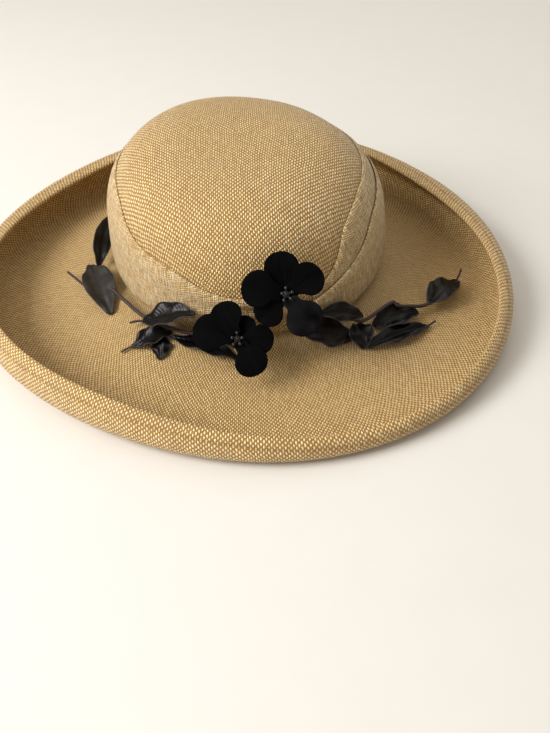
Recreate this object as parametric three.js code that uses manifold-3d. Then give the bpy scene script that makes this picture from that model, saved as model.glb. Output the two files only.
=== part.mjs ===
// A lady's straw picture hat, standing on its brim: a blocked round crown, a brim
// turned up and rolled in all round, a folded band of straw cloth, and a spray of two
// black velvet flowers with wired leaves on wrapped stems.
// Millimetres, +Z up. The origin is on the floor under the middle of the brim.
// The wearer's front faces -Y and the spray lies there.
import * as THREE from "three";
import { mergeVertices } from "three/addons/utils/BufferGeometryUtils.js";
import Module from "manifold-3d";

const wasm = await Module();
wasm.setup();

// Straw and cloth walls, and the gap that separate pieces keep.
const STRAW = 1.6;
const CLOTH = 1.1;
const PETAL = 1.1;
const LEAF = 1.0;
const BAND_SWELL = 0.6;
const BAND_STAND = 0.75;
const GAP = 0.35;

// Crown: outer half sizes where it meets the brim, its height, how far the middle of
// the head opening lies from the middle of the brim, and how far its top leans.
const CROWN_HALF_WIDTH = 85;
const CROWN_HALF_LENGTH = 96;
const CROWN_HEIGHT = 79.5;
const CROWN_BACK_SHIFT = 12;
const CROWN_SIDE_SHIFT = 0.3;
const CROWN_TOP_LEAN = -6;
// The dome lies between a cylinder and an ellipsoid: larger powers square its shoulder.
const DOME_RISE_POWER = 3.6;
const DOME_ROUND_POWER = 3.5;
// Hand-blocked unevenness: turn round the head, level up the crown, and spread and depth
// as shares of the crown's height.
const CROWN_DENTS = [
  { turn: 262, level: 0.93, spread: 0.38, depth: 0.030 },
  { turn: 130, level: 0.84, spread: 0.35, depth: -0.020 },
  { turn: 75, level: 0.95, spread: 0.33, depth: 0.023 },
  { turn: 40, level: 0.88, spread: 0.30, depth: 0.028 },
  { turn: 196, level: 0.84, spread: 0.30, depth: 0.020 },
];

// Brim: half sizes at its widest, height of the crown join, collar inside the crown,
// and the rolled rim. By turn round the hat, the rows give how far the shaped brim goes
// beyond a plain oval as a share of its half width, the radius of its roll as a share of
// ROLL_RADIUS, and the degrees that the roll turns.
const RIM_HALF_WIDTH = 168.7;
const RIM_HALF_LENGTH = 168.4;
const ROLL_RADIUS = 14;
const JOIN_HEIGHT = 18;
const COLLAR_HEIGHT = 12;
const RIM_ROWS = [
  { turn: 0, beyond: -0.0101, roll: 1.071, sweep: 190 },
  { turn: 45, beyond: -0.0379, roll: 1.107, sweep: 200 },
  { turn: 90, beyond: 0.0107, roll: 1.086, sweep: 172 },
  { turn: 135, beyond: -0.0202, roll: 1.086, sweep: 200 },
  { turn: 180, beyond: 0.0308, roll: 1.029, sweep: 187 },
  { turn: 225, beyond: -0.0012, roll: 1.114, sweep: 150 },
  { turn: 270, beyond: -0.0041, roll: 0.657, sweep: 170 },
  { turn: 315, beyond: 0.0326, roll: 0.600, sweep: 160 },
];
const HEM_WALL = 2.4;
const REST_FLAT = 5;
const FLOOR_POWER = 2.1;

const TURN_STEPS = 50;

const rad = THREE.MathUtils.degToRad;
const lerp = THREE.MathUtils.lerp;
const vec = (x, y, z) => new THREE.Vector3(x, y, z);

// A column of evenly spaced rows, run smoothly round the hat through each of them.
function aroundHat(column, angle) {
  const n = RIM_ROWS.length;
  return RIM_ROWS.reduce((sum, row) => {
    const away = angle - rad(row.turn);
    const near = Math.abs(Math.sin(away / 2)) < 1e-9;
    const weight = near ? 1 : Math.sin((n * away) / 2) / (n * Math.tan(away / 2));
    return sum + weight * row[column];
  }, 0);
}

// A column of a table read at a turn, along a smooth curve through its rows.
function fromTable(rows, column, turn) {
  const next = Math.max(1, rows.findIndex((row) => turn <= row.turn));
  const at = (i) => rows[Math.min(rows.length - 1, Math.max(0, i))];
  const [lo, hi] = [at(next - 1), at(next)];
  const slope = (i) => (at(i + 1)[column] - at(i - 1)[column]) / (at(i + 1).turn - at(i - 1).turn);
  const span = hi.turn - lo.turn;
  const t = Math.min(1, Math.max(0, (turn - lo.turn) / span));
  const bend = 3 * t * t - 2 * t * t * t;
  return (
    lerp(lo[column], hi[column], bend) +
    span * (slope(next - 1) * (t * t * t - 2 * t * t + t) + slope(next) * (t * t * t - t * t))
  );
}

// Closed skin over a list of equal rings of points. With loop, the last ring joins the
// first; otherwise each end is closed by a fan about its cap point.
function skin(rings, { loop = false, capStart = null, capEnd = null } = {}) {
  const n = rings[0].length;
  const points = rings.flat();
  const index = [];
  const last = loop ? rings.length : rings.length - 1;
  for (let i = 0; i < last; i++) {
    const next = (i + 1) % rings.length;
    for (let j = 0; j < n; j++) {
      const k = (j + 1) % n;
      const [a, b, c, d] = [i * n + j, i * n + k, next * n + k, next * n + j];
      index.push(a, b, c, a, c, d);
    }
  }
  if (!loop) {
    const middle = (ring) =>
      ring.reduce((sum, p) => sum.add(p), new THREE.Vector3()).divideScalar(ring.length);
    points.push(capStart ?? middle(rings[0]), capEnd ?? middle(rings[rings.length - 1]));
    const base = (rings.length - 1) * n;
    for (let j = 0; j < n; j++) {
      const k = (j + 1) % n;
      index.push(points.length - 2, k, j);
      index.push(points.length - 1, base + j, base + k);
    }
  }
  const geometry = new THREE.BufferGeometry().setFromPoints(points);
  geometry.setIndex(index);
  return facingOut(geometry);
}

// Turns a closed geometry's faces outward if its rings ran the other way.
function facingOut(geometry) {
  const position = geometry.getAttribute("position");
  const index = Array.from(geometry.index.array);
  const [a, b, c] = [vec(), vec(), vec()];
  let volume = 0;
  for (let i = 0; i < index.length; i += 3) {
    a.fromBufferAttribute(position, index[i]);
    b.fromBufferAttribute(position, index[i + 1]);
    c.fromBufferAttribute(position, index[i + 2]);
    volume += a.dot(b.cross(c));
  }
  if (volume < 0) geometry.setIndex(index.reverse());
  return geometry;
}

function ringOf(pointAt, steps = TURN_STEPS) {
  return Array.from({ length: steps }, (_, i) => pointAt((2 * Math.PI * i) / steps));
}

// Crown surface: angle round the head, level 0 at the join and 1 at the top. A
// positive inset goes into the straw, a negative one stands off it.
function crownPoint(angle, level, inset = 0) {
  const round = Math.pow(Math.max(0, 1 - Math.pow(level, DOME_RISE_POWER)), 1 / DOME_ROUND_POWER);
  let dent = 0;
  for (const d of CROWN_DENTS) {
    const apart = Math.atan2(Math.sin(angle - rad(d.turn)), Math.cos(angle - rad(d.turn)));
    const along = apart * CROWN_HALF_WIDTH * round;
    const up = (level - d.level + (1 - round) * 0.25) * CROWN_HEIGHT;
    const middle = Math.min(1, round / 0.35);
    const spread = d.spread * CROWN_HEIGHT;
    dent += middle * d.depth * CROWN_HEIGHT * Math.exp(-(along * along + 2 * up * up) / (spread * spread));
  }
  const shrink = inset + dent * (1 - Math.pow(level, 6));
  const drop = (inset + dent) * Math.pow(level, 6);
  return vec(
    CROWN_SIDE_SHIFT + CROWN_TOP_LEAN * level * level + (CROWN_HALF_WIDTH - shrink) * round * Math.cos(angle),
    CROWN_BACK_SHIFT + (CROWN_HALF_LENGTH - shrink) * round * Math.sin(angle),
    JOIN_HEIGHT + level * CROWN_HEIGHT - drop,
  );
}

function crownGeometry() {
  const levels = [0, 0.25, 0.45, 0.58, 0.69, 0.78, 0.86, 0.92, 0.965, 0.992];
  const foot = (GAP + STRAW / 2) / CROWN_HEIGHT;
  const layer = (inset) => levels.map((t) => ringOf((a) => crownPoint(a, lerp(foot, 1, t), inset)));
  const pole = (inset) => crownPoint(0, 1, inset).setX(CROWN_SIDE_SHIFT + CROWN_TOP_LEAN);
  return skin([...layer(0).reverse(), ...layer(STRAW)], { capStart: pole(0), capEnd: pole(STRAW) });
}

// The brim's run at an angle: where it leaves the crown, the way outward, its width.
function brimRun(angle) {
  const root = vec(
    CROWN_SIDE_SHIFT + CROWN_HALF_WIDTH * Math.cos(angle),
    CROWN_BACK_SHIFT + CROWN_HALF_LENGTH * Math.sin(angle),
    0,
  );
  const rim = vec(RIM_HALF_WIDTH * Math.cos(angle), RIM_HALF_LENGTH * Math.sin(angle), 0);
  const out = rim.clone().sub(root);
  const width = out.length() + RIM_HALF_WIDTH * aroundHat("beyond", angle);
  return { root, out: out.normalize(), width };
}

// Height of the brim's middle line over the floor: it falls from the crown join to the
// flat ring on which the hat stands. Share is 0 at the crown and 1 at the flat ring.
function floorHeight(share) {
  return STRAW / 2 + (JOIN_HEIGHT - STRAW) * Math.pow(1 - Math.min(1, Math.max(0, share)), FLOOR_POWER);
}

function flatStart(angle, width) {
  return width - ROLL_RADIUS * aroundHat("roll", angle) - REST_FLAT;
}

// Middle line of the straw across the brim, with the wall thickness at each place.
function brimLine(angle) {
  const { width } = brimRun(angle);
  const roll = ROLL_RADIUS * aroundHat("roll", angle) - STRAW / 2;
  const sweep = rad(aroundHat("sweep", angle));
  const collar = -(STRAW * 1.5 + GAP * 2.6);
  const start = flatStart(angle, width);
  const line = [
    { out: collar, up: JOIN_HEIGHT + COLLAR_HEIGHT, wall: STRAW },
    { out: collar, up: JOIN_HEIGHT + STRAW * 1.2, wall: STRAW },
    { out: collar + STRAW * 0.9, up: JOIN_HEIGHT - STRAW * 0.7, wall: STRAW },
  ];
  for (const share of [0.06, 0.17, 0.32, 0.52, 0.76, 1]) {
    line.push({ out: start * share, up: floorHeight(share) - (share < 0.1 ? STRAW * 0.4 : 0), wall: STRAW });
  }
  const turn = width - STRAW / 2 - roll;
  for (const share of [0, 0.14, 0.28, 0.42, 0.56, 0.7, 0.84, 1]) {
    const a = sweep * share;
    line.push({
      out: turn + roll * Math.sin(a),
      up: STRAW / 2 + roll * (1 - Math.cos(a)),
      wall: share > 0.8 ? HEM_WALL : STRAW,
    });
  }
  return line;
}

// Both faces of the straw, half a wall either side of its middle line.
function brimSection(angle) {
  const { root, out } = brimRun(angle);
  const line = brimLine(angle);
  const face = (side) =>
    line.map((p, i) => {
      const before = line[Math.max(0, i - 1)];
      const after = line[Math.min(line.length - 1, i + 1)];
      const run = Math.hypot(after.out - before.out, after.up - before.up);
      const shift = (side * p.wall) / 2 / run;
      const flat = p.up < STRAW * 0.51 && side < 0;
      const outAt = p.out + (after.up - before.up) * -shift;
      const upAt = flat ? 0 : p.up + (after.out - before.out) * shift;
      return root.clone().addScaledVector(out, outAt).setZ(upAt);
    });
  return [...face(1), ...face(-1).reverse()];
}

function brimGeometry() {
  return skin(ringOf(brimSection), { loop: true });
}

// A strip of folded cloth round the crown, whose inner face stands off the crown. Rows
// give, by turn, the levels on the crown of its lower and upper edges.
function bandGeometry(rows, stand, steps) {
  const first = rows[0].turn;
  const last = rows[rows.length - 1].turn;
  const across = [0, 0.1, 0.38, 0.66, 0.88, 1];
  const swell = [0, 0.7, 1, 1, 0.7, 0];
  const rings = Array.from({ length: steps + 1 }, (_, i) => {
    const turn = lerp(first, last, i / steps);
    const [low, high] = ["low", "high"].map((name) => fromTable(rows, name, turn));
    const at = (share, lift) => crownPoint(rad(turn), lerp(low, high, share), -(stand + lift));
    const inner = across.map((share, k) => at(share, swell[k] * BAND_SWELL));
    const outer = across.map((share, k) => at(share, CLOTH + swell[k] * BAND_SWELL));
    return [...outer, ...inner.reverse()];
  });
  return skin(rings);
}

const BAND_WRAP = [
  { turn: -62, low: 0.151, high: 0.277 },
  { turn: -52, low: 0.075, high: 0.415 },
  { turn: -42, low: 0.043, high: 0.642 },
  { turn: -15, low: 0.043, high: 0.755 },
  { turn: 60, low: 0.043, high: 0.742 },
  { turn: 150, low: 0.043, high: 0.730 },
  { turn: 205, low: 0.043, high: 0.704 },
  { turn: 225, low: 0.043, high: 0.553 },
  { turn: 245, low: 0.057, high: 0.465 },
  { turn: 262, low: 0.138, high: 0.352 },
  { turn: 288, low: 0.176, high: 0.314 },
];
const BAND_FOLD = [
  { turn: -63, low: 0.101, high: 0.239 },
  { turn: -52, low: 0.043, high: 0.314 },
  { turn: -38, low: 0.043, high: 0.428 },
  { turn: -22, low: 0.043, high: 0.579 },
  { turn: 20, low: 0.043, high: 0.629 },
  { turn: 70, low: 0.043, high: 0.428 },
  { turn: 100, low: 0.043, high: 0.176 },
];

// A place over the brim: turn round the hat, out as a share of the run from the crown
// to the flat ring, and lift above the straw as a share of SPRAY_LIFT.
const SPRAY_LIFT = 20;

function overBrim({ turn, out, lift }) {
  const angle = rad(turn);
  const run = brimRun(angle);
  const reach = flatStart(angle, run.width);
  return run.root.clone().addScaledVector(run.out, reach * out).setZ(floorHeight(out) + STRAW / 2 + lift * SPRAY_LIFT);
}

// A sheet along a spine, drawn to a narrow root and a shaped tip. Halves gives its half
// width along the spine, cup hollows it across, and up is the way its face looks.
function sheetGeometry({ spine, up, halves, cup, twist, wall }) {
  const curve = new THREE.CatmullRomCurve3(spine);
  const steps = halves.length - 1;
  const across = [-1, -0.5, 0, 0.5, 1];
  const rings = halves.map((half, i) => {
    const share = i / steps;
    const middle = curve.getPoint(share);
    const along = curve.getTangent(share);
    const side = along.clone().cross(up).normalize().applyAxisAngle(along, rad(twist) * share);
    const face = side.clone().cross(along).normalize();
    const at = (s, offset) =>
      middle.clone().addScaledVector(side, s * half).addScaledVector(face, cup * s * s * half + offset);
    return [...across.map((s) => at(s, wall / 2)), ...across.map((s) => at(-s, -wall / 2))];
  });
  return skin(rings);
}

// Velvet flowers: place, the way each faces, its petals by angle as seen from the front,
// with tiers that pass under one another, and where its stalk meets the band.
const PETAL_LENGTH = 23;
const PETAL_HALF_WIDTH = 10;
const HUB_RADIUS = 2.2;
const SEED_RADIUS = 1;
const STEM_RADIUS = 1.1;
const PETAL_SEAT = 2.4;
const PETAL_BOWL = 3.0;
const PETAL_SHAPE = [0.12, 0.4, 0.74, 0.95, 1, 0.86, 0.5];
const TIER_STEP = 1.6;
const FLOWERS = [
  {
    name: "flower_a",
    at: { turn: 284.3, out: 0.153, lift: 2.041 },
    azimuth: 277,
    rise: 37,
    foot: { turn: 283, level: 0.28 },
    petals: [
      { turn: 31, size: 0.98, tier: 0 },
      { turn: 96, size: 1.0, tier: -1 },
      { turn: 165, size: 1.06, tier: 0 },
      { turn: 220, size: 0.9, tier: -1 },
      { turn: 303, size: 1.1, tier: 0 },
    ],
  },
  {
    name: "flower_b",
    at: { turn: 269.0, out: 0.246, lift: 0.992 },
    azimuth: 263,
    rise: 38,
    foot: { turn: 269, level: 0.25 },
    petals: [
      { turn: 4, size: 0.86, tier: -1 },
      { turn: 64, size: 0.6, tier: -2 },
      { turn: 120, size: 0.95, tier: 0 },
      { turn: 172, size: 1.1, tier: -1 },
      { turn: 307, size: 0.98, tier: 0 },
    ],
  },
];

function flowerFrame(flower) {
  const at = overBrim(flower.at);
  const face = vec(Math.cos(rad(flower.rise)), 0, Math.sin(rad(flower.rise)));
  face.applyAxisAngle(vec(0, 0, 1), rad(flower.azimuth));
  const right = vec(0, 0, 1).cross(face).normalize();
  return new THREE.Matrix4().makeBasis(right, face.clone().cross(right), face).setPosition(at);
}

// Height of a petal over the flower's foot, by distance from the flower's middle. All
// petals share it, so that tiers never meet.
function bowlHeight(reach, tier) {
  return PETAL_SEAT + PETAL_BOWL * Math.sin((reach / PETAL_LENGTH) * 2.3) + tier * TIER_STEP;
}

function petalGeometry(petal) {
  const length = PETAL_LENGTH * petal.size;
  const root = HUB_RADIUS + GAP;
  const geometry = sheetGeometry({
    spine: [0, 0.5, 1].map((share) => vec(lerp(root, length, share), 0, 0)),
    up: vec(0, 0, 1),
    halves: PETAL_SHAPE.map((share) => share * PETAL_HALF_WIDTH * petal.size),
    cup: 0,
    twist: 0,
    wall: PETAL,
  });
  const position = geometry.getAttribute("position");
  for (let i = 0; i < position.count; i++) {
    const reach = Math.hypot(position.getX(i), position.getY(i));
    position.setZ(i, position.getZ(i) + bowlHeight(reach, petal.tier));
  }
  return geometry.rotateZ(rad(petal.turn));
}

// Stamen centre: a low dome with five seed heads on short stalks, and behind it the
// stalk that carries the flower. Reach and high are shares of the dome's radius.
const STAMENS = [
  { turn: 20, reach: 1.36, high: 2.95 },
  { turn: 95, reach: 1.55, high: 2.55 },
  { turn: 165, reach: 1.18, high: 3.1 },
  { turn: 240, reach: 1.55, high: 2.65 },
  { turn: 310, reach: 1.36, high: 2.8 },
];

function toManifold(geometry) {
  const position = geometry.getAttribute("position");
  const mesh = new wasm.Mesh({
    numProp: 3,
    vertProperties: new Float32Array(position.array),
    triVerts: new Uint32Array(geometry.index.array),
  });
  mesh.merge();
  return new wasm.Manifold(mesh);
}

function fromManifold(solid) {
  const mesh = solid.getMesh();
  const geometry = new THREE.BufferGeometry();
  geometry.setAttribute("position", new THREE.BufferAttribute(mesh.vertProperties, 3));
  geometry.setIndex(Array.from(mesh.triVerts));
  return geometry;
}

function centreGeometry(flower) {
  const dome = new THREE.SphereGeometry(HUB_RADIUS, 8, 5).scale(1, 1, 1.4).translate(0, 0, PETAL_SEAT);
  let solid = toManifold(mergeVertices(dome));
  const offCrown = GAP + CLOTH + BAND_SWELL + STEM_RADIUS + BAND_STAND;
  const foot = crownPoint(rad(flower.foot.turn), flower.foot.level, -offCrown);
  foot.applyMatrix4(flowerFrame(flower).invert());
  const stalk = [foot, vec(0, 0, -HUB_RADIUS * 1.6), vec(0, 0, PETAL_SEAT)];
  solid = solid.add(toManifold(stemGeometry(stalk, STEM_RADIUS, 6)));
  for (const stamen of STAMENS) {
    const reach = stamen.reach * HUB_RADIUS;
    const head = vec(reach * Math.cos(rad(stamen.turn)), reach * Math.sin(rad(stamen.turn)), stamen.high * HUB_RADIUS);
    const root = vec(head.x * 0.3, head.y * 0.3, HUB_RADIUS * 1.5);
    const seed = new THREE.IcosahedronGeometry(SEED_RADIUS, 0).translate(head.x, head.y, head.z);
    solid = solid.add(toManifold(stemGeometry([root, head], SEED_RADIUS * 0.45, 1)));
    solid = solid.add(toManifold(mergeVertices(seed)));
  }
  return fromManifold(solid);
}

// Wrapped wire: a six-sided tube of one radius along a smooth curve.
function stemGeometry(points, radius, pieces = points.length * 2) {
  const curve = new THREE.CatmullRomCurve3(points);
  const frames = curve.computeFrenetFrames(pieces, false);
  const rings = frames.normals.map((normal, i) =>
    ringOf((a) => {
      const centre = curve.getPointAt(i / pieces);
      const side = normal.clone().multiplyScalar(Math.cos(a) * radius);
      return centre.add(side).addScaledVector(frames.binormals[i], Math.sin(a) * radius);
    }, 6),
  );
  return skin(rings);
}

// Wired leaves of the spray. Root and tip are places over the brim: turn, out and lift.
// Half, arch and cup are shares of LEAF_HALF_WIDTH: half is the half width, arch lifts
// the middle and cup hollows it. Roll tilts the face about its spine.
const LEAF_HALF_WIDTH = 8;
const LEAF_SHAPE = [0.12, 0.6, 0.92, 1, 0.82, 0.5, 0.08];
const LEAVES = [
  { name: "leaf_left_tip", root: [194, 0.235, 0.4], tip: [216, 0.243, 0.065], half: 1.05, arch: 0.38, cup: 0.36, roll: 0, twist: 16 },
  { name: "leaf_left_tall", root: [193, 0.172, 0.35], tip: [173.8, 0.11, 0.85], half: 0.65, arch: 0.38, cup: 0.22, roll: 24, twist: 10 },
  { name: "leaf_left_upper", root: [234.8, 0.205, 0.61], tip: [253.3, 0.14, 1.21], half: 0.90, arch: 0.25, cup: 0.27, roll: 22, twist: -6 },
  { name: "leaf_left_fork", root: [242, 0.096, 0.08], tip: [233, 0.355, 0.065], half: 0.75, arch: 0.25, cup: 0.33, roll: -16, twist: 14 },
  { name: "leaf_left_hanging", root: [240, 0.163, 0.075], tip: [243.5, 0.348, 0.065], half: 0.65, arch: 0.25, cup: -0.22, roll: 0, twist: 20 },
  { name: "leaf_left_long", root: [244.3, 0.138, 0.095], tip: [269.5, 0.222, 0.08], half: 0.72, arch: 0.25, cup: 0.22, roll: 0, twist: -8 },
  { name: "leaf_right_broad", root: [291.2, 0.103, 0.39], tip: [307.5, 0.241, 0.13], half: 1.10, arch: 0.19, cup: 0.22, roll: 16, twist: 6 },
  { name: "leaf_right_back", root: [299.5, 0.099, 0.78], tip: [312.5, 0.219, 0.58], half: 0.57, arch: 0.25, cup: 0.22, roll: 40, twist: 0 },
  { name: "leaf_right_wrap", root: [312, 0.191, 0.16], tip: [308.8, 0.351, 0.075], half: 0.72, arch: 0.30, cup: 0.38, roll: 0, twist: 20 },
  { name: "leaf_right_outer", root: [317.8, 0.264, 0.095], tip: [331.8, 0.47, 0.21], half: 0.78, arch: 0.30, cup: 0.33, roll: 20, twist: -14 },
  { name: "leaf_right_lower", root: [310.5, 0.366, 0.095], tip: [330, 0.582, 0.08], half: 0.65, arch: 0.25, cup: 0.29, roll: 4, twist: 10 },
  { name: "leaf_right_end", root: [337.2, 0.546, 0.32], tip: [352.5, 0.801, 0.2], half: 0.88, arch: 0.25, cup: 0.33, roll: 10, twist: -18 },
];

function leafGeometry(leaf) {
  const place = ([turn, out, lift]) => overBrim({ turn, out, lift });
  const [root, tip] = [place(leaf.root), place(leaf.tip)];
  const along = tip.clone().sub(root).normalize();
  const up = vec(0, 0, 1).applyAxisAngle(along, rad(leaf.roll));
  const spine = [0, 0.25, 0.5, 0.75, 1].map((share) =>
    root.clone().lerp(tip, share).addScaledVector(vec(0, 0, 1), leaf.arch * LEAF_HALF_WIDTH * Math.sin(Math.PI * share)),
  );
  return sheetGeometry({
    spine,
    up,
    halves: LEAF_SHAPE.map((share) => share * leaf.half * LEAF_HALF_WIDTH),
    cup: leaf.cup,
    twist: leaf.twist,
    wall: LEAF,
  });
}

// Stems by places over the brim: turn, out and lift; thick is a share of STEM_RADIUS.
const STEMS = [
  {
    name: "stem_left",
    thick: 1.00,
    path: [
      [262.8, 0.122, 0.45],
      [246.5, 0.104, 0.3],
      [231.8, 0.122, 0.3],
      [219, 0.117, 0.3],
      [213, 0.148, 0.45],
      [211.3, 0.166, 0.475],
    ],
  },
  {
    name: "stem_left_tip",
    thick: 0.73,
    path: [
      [207.5, 0.277, 0.29],
      [198.0, 0.35, 0.31],
      [188.8, 0.462, 0.27],
    ],
  },
  {
    name: "stem_left_twig",
    thick: 0.64,
    path: [
      [231.3, 0.14, 0.225],
      [229.2, 0.184, 0.275],
      [227.2, 0.224, 0.25],
    ],
  },
  {
    name: "stem_right",
    thick: 1.00,
    path: [
      [289.8, 0.096, 0.85],
      [296.8, 0.076, 0.75],
      [309.5, 0.162, 0.425],
      [314, 0.223, 0.375],
      [326, 0.282, 0.5],
      [327.5, 0.34, 0.45],
      [334, 0.482, 0.325],
      [336.8, 0.538, 0.325],
    ],
  },
  {
    name: "stem_right_tip",
    thick: 0.64,
    path: [
      [350.2, 0.781, 0.425],
      [351.2, 0.805, 0.55],
      [353.5, 0.838, 0.6],
    ],
  },
];

function stemOverBrim({ path, thick }) {
  return stemGeometry(path.map(([turn, out, lift]) => overBrim({ turn, out, lift })), thick * STEM_RADIUS);
}

const STRAW_COLOUR = 0xd2a662;
const MATERIALS = {
  crown: { color: STRAW_COLOUR, roughness: 0.62 },
  brim: { color: STRAW_COLOUR, roughness: 0.62 },
  band: { color: 0xdcbc86, roughness: 0.66 },
  velvet: { color: 0x0b0a0c, roughness: 0.95 },
  centre: { color: 0x141214, roughness: 0.4 },
  leaf: { color: 0x1b1a1d, roughness: 0.5 },
  stem: { color: 0x2a1c20, roughness: 0.55 },
};

const group = new THREE.Group();
group.name = "hat";

function put(name, geometry, material) {
  const mesh = new THREE.Mesh(geometry, new THREE.MeshStandardMaterial(MATERIALS[material]));
  mesh.name = name;
  group.add(mesh);
}

put("crown", crownGeometry(), "crown");
put("brim", brimGeometry(), "brim");
put("band_wrap", bandGeometry(BAND_WRAP, BAND_STAND, 50), "band");
put("band_fold", bandGeometry(BAND_FOLD, BAND_STAND + CLOTH + BAND_SWELL + GAP * 1.4, 24), "band");
for (const flower of FLOWERS) {
  const frame = flowerFrame(flower);
  put(`${flower.name}_centre`, centreGeometry(flower).applyMatrix4(frame), "centre");
  flower.petals.forEach((petal, i) =>
    put(`${flower.name}_petal_${i + 1}`, petalGeometry(petal).applyMatrix4(frame), "velvet"),
  );
}
for (const leaf of LEAVES) put(leaf.name, leafGeometry(leaf), "leaf");
for (const stem of STEMS) put(stem.name, stemOverBrim(stem), "stem");

// The origin goes to the floor under the middle of the whole hat.
const bounds = new THREE.Box3().setFromObject(group);
const middle = bounds.getCenter(vec());
for (const mesh of group.children) mesh.geometry.translate(-middle.x, -middle.y, -bounds.min.z);

export default group;
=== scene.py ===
"""A straw picture hat with a folded band and a spray of velvet flowers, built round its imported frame."""

import math

import bmesh
import bpy
import numpy as np
from mathutils import Matrix, Vector


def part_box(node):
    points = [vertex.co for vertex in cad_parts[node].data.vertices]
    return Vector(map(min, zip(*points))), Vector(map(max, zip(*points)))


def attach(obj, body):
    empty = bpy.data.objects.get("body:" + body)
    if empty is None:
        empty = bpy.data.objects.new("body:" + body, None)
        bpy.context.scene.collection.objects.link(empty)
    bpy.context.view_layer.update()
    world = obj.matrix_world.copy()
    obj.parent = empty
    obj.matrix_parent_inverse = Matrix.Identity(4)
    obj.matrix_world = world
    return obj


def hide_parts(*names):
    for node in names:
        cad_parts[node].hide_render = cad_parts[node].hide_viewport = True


bl_info = {
    "name": "Straw Picture Hat",
    "version": (1, 0, 0),
    "blender": (4, 5, 0),
    "location": "View3D > Sidebar > Hat",
    "description": "Builds a straw picture hat with a velvet flower spray, piece by piece",
    "category": "Add Mesh",
}

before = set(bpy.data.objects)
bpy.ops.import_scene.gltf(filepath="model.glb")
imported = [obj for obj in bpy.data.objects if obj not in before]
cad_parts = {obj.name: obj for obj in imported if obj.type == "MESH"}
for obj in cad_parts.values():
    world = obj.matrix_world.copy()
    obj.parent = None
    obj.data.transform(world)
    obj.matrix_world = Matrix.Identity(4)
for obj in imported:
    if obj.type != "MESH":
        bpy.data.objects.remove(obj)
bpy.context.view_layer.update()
MM = 0.001

# Sizes of the solids, in millimetres, with their origin at the middle of the rim's oval.
STRAW = 1.6
CLOTH = 1.1
PETAL = 1.1
LEAF = 1.0
BAND_STAND = 0.75
BAND_SWELL = 0.6
GAP = 0.35
CROWN_HALF_WIDTH = 85.0
CROWN_HALF_LENGTH = 96.0
CROWN_HEIGHT = 79.5
CROWN_BACK_SHIFT = 12.0
CROWN_SIDE_SHIFT = 0.3
CROWN_TOP_LEAN = -6.0
DOME_RISE_POWER = 3.6
DOME_ROUND_POWER = 3.5
RIM_HALF_WIDTH = 168.7
RIM_HALF_LENGTH = 168.4
ROLL_RADIUS = 14.0
JOIN_HEIGHT = 18.0
COLLAR_HEIGHT = 12.0
HEM_WALL = 2.4
REST_FLAT = 5.0
HEM_WIDTH = 6.5
FLOOR_POWER = 2.1
SPRAY_LIFT = 20.0
LEAF_HALF_WIDTH = 8.0
STEM_RADIUS = 1.1
HUB_RADIUS = 2.2
SEED_RADIUS = 1.0
PETAL_SEAT = 2.4
PETAL_BOWL = 3.0
PETAL_LENGTH = 23.0
PETAL_HALF_WIDTH = 10.0
PETAL_ROUND = 0.59
TIER_STEP = 1.6

# turn in degrees, level up the crown, spread and depth as shares of its height
CROWN_DENTS = (
    (262, 0.93, 0.38, 0.030),
    (130, 0.84, 0.35, -0.020),
    (75, 0.95, 0.33, 0.023),
    (40, 0.88, 0.30, 0.028),
    (196, 0.84, 0.30, 0.020),
)
# turn, reach beyond the oval and roll radius as shares, sweep of the roll in degrees
RIM_ROWS = (
    (0, -0.0101, 1.071, 190),
    (45, -0.0379, 1.107, 200),
    (90, 0.0107, 1.086, 172),
    (135, -0.0202, 1.086, 200),
    (180, 0.0308, 1.029, 187),
    (225, -0.0012, 1.114, 150),
    (270, -0.0041, 0.657, 170),
    (315, 0.0326, 0.600, 160),
)
# turn, lower and upper edge as levels on the crown
BAND_WRAP = (
    (-62, 0.151, 0.277),
    (-52, 0.075, 0.415),
    (-42, 0.043, 0.642),
    (-15, 0.043, 0.755),
    (60, 0.043, 0.742),
    (150, 0.043, 0.730),
    (205, 0.043, 0.704),
    (225, 0.043, 0.553),
    (245, 0.057, 0.465),
    (262, 0.138, 0.352),
    (288, 0.176, 0.314),
)
BAND_FOLD = (
    (-63, 0.101, 0.239),
    (-52, 0.043, 0.314),
    (-38, 0.043, 0.428),
    (-22, 0.043, 0.579),
    (20, 0.043, 0.629),
    (70, 0.043, 0.428),
    (100, 0.043, 0.176),
)
# place over the brim, way it faces, petals by turn, size and tier, and the stalk's foot
FLOWERS = (
    (
        "flower_a",
        (284.3, 0.153, 2.041),
        (277, 37),
        ((31, 0.98, 0), (96, 1.0, -1), (165, 1.06, 0), (220, 0.9, -1), (303, 1.1, 0)),
        (283, 0.28),
    ),
    (
        "flower_b",
        (269.0, 0.246, 0.992),
        (263, 38),
        ((4, 0.86, -1), (64, 0.6, -2), (120, 0.95, 0), (172, 1.1, -1), (307, 0.98, 0)),
        (269, 0.25),
    ),
)
# turn, reach and height of a seed head as shares of the hub's radius
STAMENS = ((20, 1.36, 2.95), (95, 1.55, 2.55), (165, 1.18, 3.1), (240, 1.55, 2.65), (310, 1.36, 2.8))
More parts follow.
